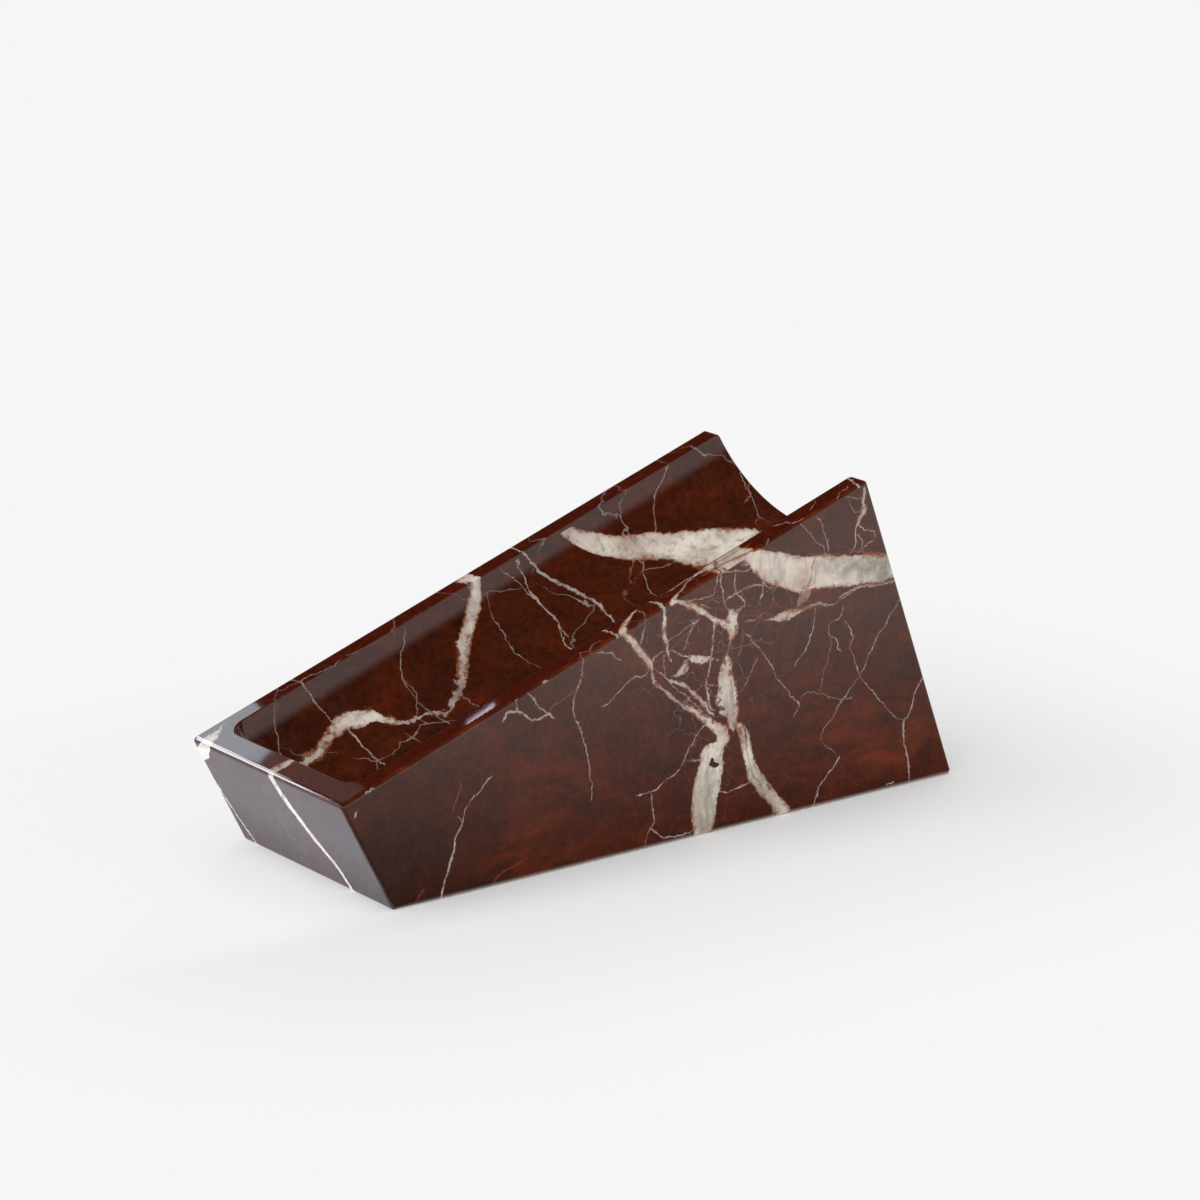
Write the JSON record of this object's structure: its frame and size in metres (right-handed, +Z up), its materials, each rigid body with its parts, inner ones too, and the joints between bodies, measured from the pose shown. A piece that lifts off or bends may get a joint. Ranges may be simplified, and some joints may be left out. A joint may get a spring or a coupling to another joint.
{
  "type": "wine bottle holder",
  "caption": "Wedge of veined dark red marble with a round trough down its sloping top, closed at the low end and open at the high end, to hold a wine bottle at a tilt.",
  "frame": {"origin": "middle of the base, under the middle of the part's length and width", "axes": "+X from the low closed end to the high open end, +Y across towards the far side, +Z up"},
  "size_m": [0.2632, 0.092, 0.1156],
  "materials": {
    "marble": "polished dark red marble with cream and rust veins"
  },
  "bodies": {
    "root": {"marble_block": "marble"}
  },
  "joints": []
}
